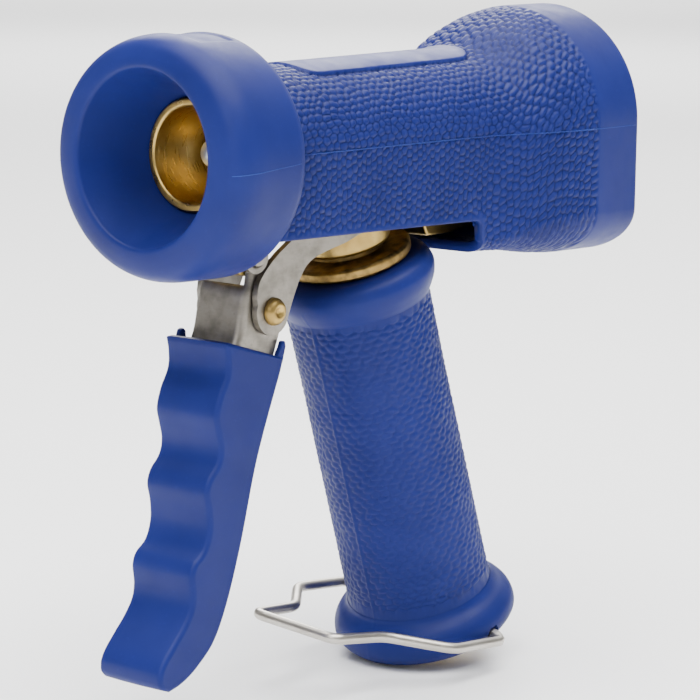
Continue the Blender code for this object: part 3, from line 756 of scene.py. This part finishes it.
def build_body():
    """The brass body where it shows: neck, chamber, rear foot and the lug for the lever's pivot."""
    neck = [(8.0, 6.0), (12.4, 6.0), (12.4, 17.6), (12.7, 18.6), (12.7, 27.2), (12.1, 28.1), (8.0, 28.1)]
    neck_mesh = lathe_mesh("body_neck", neck, 112, lean=HANDLE_LEAN, origin=HANDLE_TOP, ring=True)
    tube = [(9.8, 103.8), (12.7, 103.8), (12.7, 48.0), (16.0, 45.0), (16.0, 28.8), (15.4, 28.2), (13.1, 28.2)]
    tube += [(13.1, 41.6), (9.8, 41.6)]
    chamber_mesh = lathe_mesh("body_chamber", tube, 96, ring=True)
    foot = [(93.0, -8.4), (103.9, -8.4), (104.0, -20.6), (122.0, -20.6), (122.4, -23.4)]
    foot += rounded([(120.0, -24.5), (112.0, -25.7), (101.2, -25.8)], 1.0).tolist()
    foot += [(97.0, -18.0), (93.0, -14.0)]
    foot_mesh = prism_mesh("body_foot", foot, -10.5, 10.5)
    lug = [(29.2, -13.4), (40.0, -13.4), (40.0, -14.5)]
    lug += arc(LEVER_PIVOT, 5.3, 0.0, -180.0, 40) + [(28.6, -20.0)]
    lug_mesh = prism_mesh("body_lug", lug, -6.6, 6.6)
    for mesh, edge in ((neck_mesh, 0.0), (chamber_mesh, 0.0), (foot_mesh, 0.7), (lug_mesh, 0.4)):
        piece = add_piece(mesh.name, mesh, "gun", BRASS_BODY, "valve_body")
        if edge:
            bevel(piece, edge)


def build_nozzle():
    """The nozzle's concave cup and the stem's domed tip in its throat."""
    cup = [(12.8, 41.3), (12.8, 25.3), (14.2, 25.3), (14.5, 24.9), (14.5, 18.1), (14.1, 17.6), (12.75, 17.6)]
    hollow = [(12.3, 18.0), (11.9, 20.0), (10.9, 23.0), (9.2, 26.2), (7.4, 29.4), (6.3, 32.4), (5.9, 35.6)]
    cup += rounded(hollow, 0.5).tolist() + [(5.8, 37.5), (6.3, 41.3)]
    mesh = lathe_mesh("nozzle_cup_turned", cup, 160, ring=True, fillet=0.25)
    add_piece("nozzle_cup_turned", mesh, "gun", BRASS_TURNED, "nozzle_cup")
    turns = np.linspace(0.12, math.pi / 2, 12)
    tip = [(0.0, 23.7)] + [(4.0 * math.sin(a), 27.4 - 3.7 * math.cos(a)) for a in turns]
    tip += [(4.0, 33.4), (3.6, 34.0), (0.0, 34.0)]
    mesh = lathe_mesh("stem_tip_polished", tip, 96, fillet=0.2)
    add_piece("stem_tip_polished", mesh, "stem", TIP_METAL, "stem_tip")


# ---------------------------------------------------------------- lever

LEVER_HALF = 10.9
LEVER_TIP_X = -4.0
LEVER_EDGE, LEVER_FRONT_EXTRA = 0.9, 0.5
LEVER_EDGE_STEPS = 6
LEVER_BOW = 0.3
POST_INNER, POST_OUTER = 8.9, 10.4
LEVER_FRONT = [(20.2, -48.2), (20.6, -51.6), (20.2, -55.6), (17.8, -60.0), (16.2, -65.2), (17.0, -69.4)]
LEVER_FRONT += [(18.0, -73.6), (17.2, -77.4), (14.0, -81.0), (12.7, -84.8), (13.7, -89.4), (13.9, -94.4)]
LEVER_FRONT += [(12.2, -99.0), (8.8, -101.8), (7.4, -105.2), (7.9, -110.2), (7.2, -114.0), (4.4, -118.0)]
LEVER_FRONT += [(1.2, -121.4), (-2.4, -125.4), (-4.0, -128.6), (-3.7, -131.4), (-2.2, -132.9)]
LEVER_REAR = [(0.2, -133.8), (5.2, -132.2), (11.0, -128.6), (16.7, -123.2), (21.6, -113.6), (26.6, -99.1)]
LEVER_REAR += [(32.6, -77.9), (41.6, -55.4)]
LEVER_TOP = [(42.0, -52.9), (28.0, -48.8), (22.0, -47.0), (20.4, -47.1)]


def build_lever_grip():
    """The moulded lever: flat sides, rounded edges, three finger grooves and a pocket for the bracket."""
    fingers = rounded(LEVER_FRONT, 0.8)
    outline = np.concatenate([fingers, rounded(LEVER_REAR, 1.2), np.array(LEVER_TOP)])
    outline[:, 0] = np.maximum(outline[:, 0], LEVER_TIP_X)
    ahead = np.roll(outline, -1, axis=0) - np.roll(outline, 1, axis=0)
    inward = np.column_stack([ahead[:, 1], -ahead[:, 0]])
    inward /= np.linalg.norm(inward, axis=1, keepdims=True)
    if np.sum(inward * (outline.mean(axis=0) - outline)) < 0:
        inward = -inward
    front = np.zeros(len(outline))
    front[: len(fingers)] = 1.0
    front = np.convolve(np.pad(front, 6, mode="wrap"), np.ones(13) / 13, mode="valid")
    radius = LEVER_EDGE + LEVER_FRONT_EXTRA * front
    bow = LEVER_BOW * front

    def ring_at(y, inset):
        ring = outline + inward * inset[:, None]
        return np.column_stack([ring[:, 0], y, ring[:, 1]])

    bends = [math.pi / 2 * k / LEVER_EDGE_STEPS for k in range(LEVER_EDGE_STEPS + 1)]
    widths = [LEVER_HALF - radius + radius * math.cos(a) for a in bends]
    insets = [radius * (1.0 - math.sin(a)) + bow for a in bends]
    near = [ring_at(-width, inset) for width, inset in zip(widths, insets)]
    far = [ring_at(width, inset) for width, inset in zip(widths, insets)]
    parts = np.linspace(-1.0, 1.0, 15)[1:-1]
    body = [ring_at(part * (LEVER_HALF - radius), bow * part ** 2) for part in parts]
    grid = np.array(near + body + far[::-1])
    mesh = mesh_from("lever_moulding", grid, tube_faces(*grid.shape[:2]), sharp_degrees=40)
    lever = add_piece("lever_moulding", mesh, "lever", PLASTIC, "lever_grip")
    pocket = [(24.6, -40.0), (22.4, -63.4), (37.2, -63.4), (44.4, -47.5), (46.0, -40.0)]
    cut_by(lever, prism_mesh("pocket", pocket, -8.8, 8.8))
    lever.data.set_sharp_from_angle(angle=math.radians(40))
    flat_sides(lever)


def build_lever_posts():
    """The small posts on the lever's top: one at each rear corner, one beside the bracket's far edge."""
    rear = [(39.6, -54.5), (42.2, -54.3), (43.4, -50.2), (43.1, -48.8), (42.1, -48.7), (41.3, -50.4)]
    rear += [(40.4, -51.6)]
    front = [(23.6, -50.0), (23.6, -47.6), (24.1, -45.9), (25.4, -45.5), (26.2, -46.4), (26.4, -50.0)]
    posts = [("lever_post_rear_" + side, rear, sign) for side, sign in SIDES]
    posts.append(("lever_post_front", front, 1.0))
    for name, outline, sign in posts:
        low, high = sorted((sign * POST_INNER, sign * POST_OUTER))
        piece = add_piece(name, prism_mesh(name, outline, low, high), "lever", PLASTIC, None)
        bevel(piece, 0.35)


# ---------------------------------------------------------------- bracket, pivot and links

BRACKET_HALF = 8.5
BRACKET_BEND = 2.2
BRACKET_SHEET = 1.45
BRACKET_DEPTH = 26.0
BRACKET_BOTTOM = -62.6
WEB_TOP = -33.6
EYE_RADIUS = 2.75
LINK_ROUND = 6.2
LINK_INNER, LINK_OUTER = 8.8, 10.6
LINK_RIVET_EYE, LINK_REAR_EYE = 2.7, 3.4
LINK_STEP_OUT, LINK_STEP_START, LINK_STEP_END = 4.5, 50.0, 62.5


def sheet_bend(radius, start, end):
    """A quarter bend of the bracket's sheet as (y, depth) pairs, from the web at 0 to the side at pi / 2."""
    return [(BRACKET_HALF - BRACKET_BEND + radius * math.sin(a), BRACKET_BEND - radius * math.cos(a))
            for a in np.linspace(start, end, 9)]


def build_bracket():
    """The folded stainless channel, bent round its web and pierced for the pivot and the rivet."""
    right = sheet_bend(BRACKET_BEND, 0.0, math.pi / 2)
    right += [(BRACKET_HALF, BRACKET_DEPTH), (BRACKET_HALF - BRACKET_SHEET, BRACKET_DEPTH)]
    right += sheet_bend(BRACKET_BEND - BRACKET_SHEET, math.pi / 2, 0.0)
    section = right + [(-y, depth) for y, depth in right[::-1]]
    web = [(30.4, -33.6), (29.4, -35.6), (27.4, -45.0), (25.6, -50.0), (23.2, BRACKET_BOTTOM)]
    front = [(33.6, -18.0)] + rounded(web, 0.8).tolist()
    grid = np.array([[(x + depth, y, z) for y, depth in section] for x, z in front])
    mesh = mesh_from("bracket_channel", grid, tube_faces(len(front), len(section)), sharp_degrees=35)
    bracket = add_piece("bracket_channel", mesh, "lever", STAINLESS, "lever_bracket")
    side = arc(LEVER_PIVOT, 5.4, 178.0, 15.0, 30) + arc(RIVET, 5.6, 15.0, -25.0, 10)
    side += [(42.6, -47.0), (36.6, BRACKET_BOTTOM), (10.0, BRACKET_BOTTOM), (10.0, WEB_TOP), (26.6, WEB_TOP)]
    side += [(26.6, -30.0)]
    cut_by(bracket, prism_mesh("flange_outline", side, -12.0, 12.0), "INTERSECT")
    above_web = [(10.0, WEB_TOP), (10.0, -10.0), (60.0, -10.0), (60.0, WEB_TOP)]
    cut_by(bracket, prism_mesh("web_top", above_web, -7.0, 7.0))
    for center in (LEVER_PIVOT, RIVET):
        pierce(bracket, center, EYE_RADIUS)
    bracket.data.set_sharp_from_angle(angle=math.radians(35))
    flat_sides(bracket)
    bevel(bracket, 0.22, 2, 50.0)


def build_pivot():
    """The lever's pivot pin through the lug, with a clip on each end."""
    pin = [(0.0, 11.5), (2.0, 11.5), (2.5, 11.0), (2.5, -11.0), (2.0, -11.5), (0.0, -11.5)]
    mesh = lathe_mesh("pivot_pin", pin, 48, across=LEVER_PIVOT)
    add_piece("pivot_pin", mesh, "gun", STAINLESS, "lever_pivot_pin")
    for side, sign in SIDES:
        clip = [(4.4, sign * 10.2), (4.4, sign * 9.0), (2.8, sign * 9.0), (2.8, sign * 10.2)]
        mesh = lathe_mesh("pivot_retainer_" + side, clip, 48, across=LEVER_PIVOT, ring=True)
        add_piece("pivot_retainer_" + side, mesh, "gun", STAINLESS, "pivot_clip_" + side)


def step_link(mesh, sign):
    """Steps the part of a link behind LINK_STEP_START outwards, with cuts across it to bend at."""
    bm = bmesh.new()
    bm.from_mesh(mesh)
    for x in np.arange(49.0, 65.0, 0.75):
        everything = bm.verts[:] + bm.edges[:] + bm.faces[:]
        place = (x * MM + SHIFT[0], 0.0, 0.0)
        bmesh.ops.bisect_plane(bm, geom=everything, plane_co=place, plane_no=(1.0, 0.0, 0.0))
    for vert in bm.verts:
        x = (vert.co.x - SHIFT[0]) / MM
        vert.co.y += sign * LINK_STEP_OUT * MM * smooth_step(x, LINK_STEP_START, LINK_STEP_END)
    bmesh.ops.triangulate(bm, faces=[f for f in bm.faces if len(f.verts) > 4])
    for face in bm.faces:
        face.smooth = True
    bm.to_mesh(mesh)
    bm.free()


def build_links():
    """The two stainless links: rounded ends, swept up from the rivet and stepped outwards under the cover."""
    upper_edge = [(64.5, -12.7), (58.0, -15.4), (52.0, -18.6), (44.8, -22.9), (38.1, -27.2), (33.0, -32.2)]
    upper_edge += [(31.8, -36.4)]
    lower_edge = [(43.9, -42.2), (46.0, -37.4), (49.0, -32.0), (52.6, -28.3), (58.3, -25.3), (66.0, -22.7)]
    outline = arc(CROSSHEAD, LINK_ROUND, -75.0, 105.0, 36) + rounded(upper_edge, 1.0).tolist()
    outline += arc(RIVET, LINK_ROUND, 162.0, 325.0, 36) + rounded(lower_edge, 1.0).tolist()
    for side, sign in SIDES:
        low, high = sorted((sign * LINK_INNER, sign * LINK_OUTER))
        mesh = prism_mesh("link_plate_" + side, outline, low, high, 40)
        link = add_piece("link_plate_" + side, mesh, "links", STAINLESS, "link_" + side)
        pierce(link, RIVET, LINK_RIVET_EYE)
        pierce(link, CROSSHEAD, LINK_REAR_EYE)
        step_link(link.data, sign)
        link.data.set_sharp_from_angle(angle=math.radians(40))
        flat_sides(link)
        bevel(link, 0.22, 2, 50.0)
    head = [(0.0, 12.35), (0.5, 12.3), (0.9, 12.55), (1.5, 12.95), (2.2, 12.95), (3.0, 12.4), (3.5, 11.6)]
    head += [(3.7, 10.7), (2.5, 10.7)]
    rivet = head + [(r, -h) for r, h in head[::-1]]
    mesh = lathe_mesh("rivet_turned", rivet, 64, across=RIVET, fillet=0.25)
    add_piece("rivet_turned", mesh, "links", BRASS_BODY, "link_rivet")


# ---------------------------------------------------------------- hanger

WIRE_RADIUS = 1.5
WIRE_BEND = 3.4
WIRE_STEP = 0.8
WIRE_SIDES = 28


def build_bail():
    """The bent wire hanger, a round section swept along a path with rounded bends."""
    near = [(115.3, -22.2, -137.56), (115.3, -26.6, -138.1), (114.7, -28.6, -139.3), (94.0, -28.4, -137.7)]
    near += [(78.6, -16.0, -133.4), (59.6, -14.6, -130.8)]
    far = [(58.6, 13.4, -128.2), (77.6, 15.4, -130.2), (93.0, 28.0, -129.5), (115.3, 28.4, -131.72)]
    far += [(115.3, 22.2, -132.44)]
    path = filleted(near + far, WIRE_BEND, 8)
    distance = np.concatenate([[0.0], np.cumsum(np.linalg.norm(np.diff(path, axis=0), axis=1))])
    even = np.arange(0.0, distance[-1], WIRE_STEP)
    path = np.column_stack([np.interp(even, distance, path[:, k]) for k in range(3)])
    tangent = np.gradient(path, axis=0)
    tangent /= np.linalg.norm(tangent, axis=1, keepdims=True)
    side = np.cross(tangent, [0.0, 0.12, 1.0])
    side /= np.linalg.norm(side, axis=1, keepdims=True)
    up = np.cross(side, tangent)
    angle = full_turn(WIRE_SIDES)[None, :, None]
    spoke = np.cos(angle) * side[:, None, :] + np.sin(angle) * up[:, None, :]
    grid = path[:, None, :] + WIRE_RADIUS * spoke
    mesh = mesh_from("hanger_wire", grid, tube_faces(len(path), WIRE_SIDES), sharp_degrees=60)
    add_piece("hanger_wire", mesh, "bail", BRIGHT_WIRE, "hanger_bail")


# ---------------------------------------------------------------- carried nodes, stage, light, camera

CARRIED = (
    (RUBBER_SEAL, ("nozzle_o_ring", "neck_o_ring", "valve_disc", "bonnet_gasket", "stem_packing")),
    (BRASS_TURNED, ("disc_holder", "rear_bonnet", "gland_nut")),
    (STAINLESS, ("valve_stem", "spring_seat", "crosshead", "crosshead_pin_left", "crosshead_pin_right",
                 "stem_nut", "lock_nut")),
    (BRIGHT_WIRE, ("return_spring",)),
)
FLOOR_HALF = 14.0
FLOOR_GAP = 0.0004
FLOOR_TONE = 0.97
WORLD_STRENGTH = 0.35
LIGHT_TARGET = (0.0, 0.0, 0.09)
CAMERA_AZIMUTH, CAMERA_ELEVATION, CAMERA_ROLL = -50.06, 8.75, 0.76
CAMERA_TARGET = (81.55, 0.0, -56.5)
CAMERA_DISTANCE = 730.0
CAMERA_LENS = 137.7


def paint_carried():
    """Gives the hidden nodes, which keep their own meshes, the matching materials."""
    for material, names in CARRIED:
        for name in names:
            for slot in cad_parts[name].material_slots:
                slot.material = material


def build_stage():
    """The pale floor, just under the part, and the even light of the studio."""
    size = FLOOR_HALF
    mesh = bpy.data.meshes.new("floor")
    corners = [(-size, -size, 0), (size, -size, 0), (size, size, 0), (-size, size, 0)]
    mesh.from_pydata(corners, [], [(0, 1, 2, 3)])
    floor = bpy.data.objects.new("floor", mesh)
    floor.location = (0.0, 0.0, frame_bounds[0][2] - FLOOR_GAP)
    bpy.context.scene.collection.objects.link(floor)
    material = bpy.data.materials.new("pale_floor")
    material.use_nodes = True
    shader = material.node_tree.nodes["Principled BSDF"]
    shader.inputs["Base Color"].default_value = (FLOOR_TONE, FLOOR_TONE, FLOOR_TONE, 1.0)
    shader.inputs["Roughness"].default_value = 0.85
    floor.data.materials.append(material)

    world = bpy.data.worlds.new("studio")
    world.use_nodes = True
    background = world.node_tree.nodes["Background"]
    background.inputs["Color"].default_value = (1.0, 1.0, 1.0, 1.0)
    background.inputs["Strength"].default_value = WORLD_STRENGTH
    bpy.context.scene.world = world


def add_light(name, place, target, size, power):
    """A round soft light of a diameter in metres and a power in watts."""
    data = bpy.data.lights.new(name, "AREA")
    data.shape = "DISK"
    data.size = size
    data.energy = power
    light = bpy.data.objects.new(name, data)
    light.location = place
    light.rotation_euler = Vector(np.array(target) - np.array(place)).to_track_quat("-Z", "Y").to_euler()
    bpy.context.scene.collection.objects.link(light)


def build_camera():
    """The camera at the photograph's angle: 50 degrees round from the left side towards the front."""
    azimuth, elevation, roll = map(math.radians, (CAMERA_AZIMUTH, CAMERA_ELEVATION, CAMERA_ROLL))
    flat = math.cos(elevation)
    back = np.array([math.sin(azimuth) * flat, -math.cos(azimuth) * flat, math.sin(elevation)])
    place = (np.array(CAMERA_TARGET) + back * CAMERA_DISTANCE) * MM + SHIFT
    right = np.cross(-back, [0.0, 0.0, 1.0])
    right /= np.linalg.norm(right)
    up = np.cross(right, -back)
    turned_right = math.cos(roll) * right + math.sin(roll) * up
    turned_up = -math.sin(roll) * right + math.cos(roll) * up
    data = bpy.data.cameras.new("camera")
    data.sensor_width = 36.0
    data.lens = CAMERA_LENS
    camera = bpy.data.objects.new("camera", data)
    bpy.context.scene.collection.objects.link(camera)
    rows = [[turned_right[i], turned_up[i], back[i], place[i]] for i in range(3)]
    camera.matrix_world = Matrix(rows + [[0.0, 0.0, 0.0, 1.0]])
    bpy.context.scene.camera = camera


build_cover()
build_bell()
build_mould_lines()
build_grip()
build_handle_brass()
build_body()
build_nozzle()
build_lever_grip()
build_lever_posts()
build_bracket()
build_pivot()
build_links()
build_bail()
paint_carried()
build_stage()
add_light("overhead", (-0.05, -0.15, 1.5), LIGHT_TARGET, 2.0, 80.0)
add_light("front", (-1.2, -0.5, 0.95), LIGHT_TARGET, 0.8, 8.0)
add_light("back", (1.3, 0.5, 1.2), LIGHT_TARGET, 2.0, 10.0)
add_light("backdrop", (2.7, 2.3, 2.2), (2.7, 2.3, 0.0), 2.6, 130.0)
add_light("backdrop_far", (7.0, 6.0, 4.5), (7.0, 6.0, 0.0), 6.0, 600.0)
build_camera()
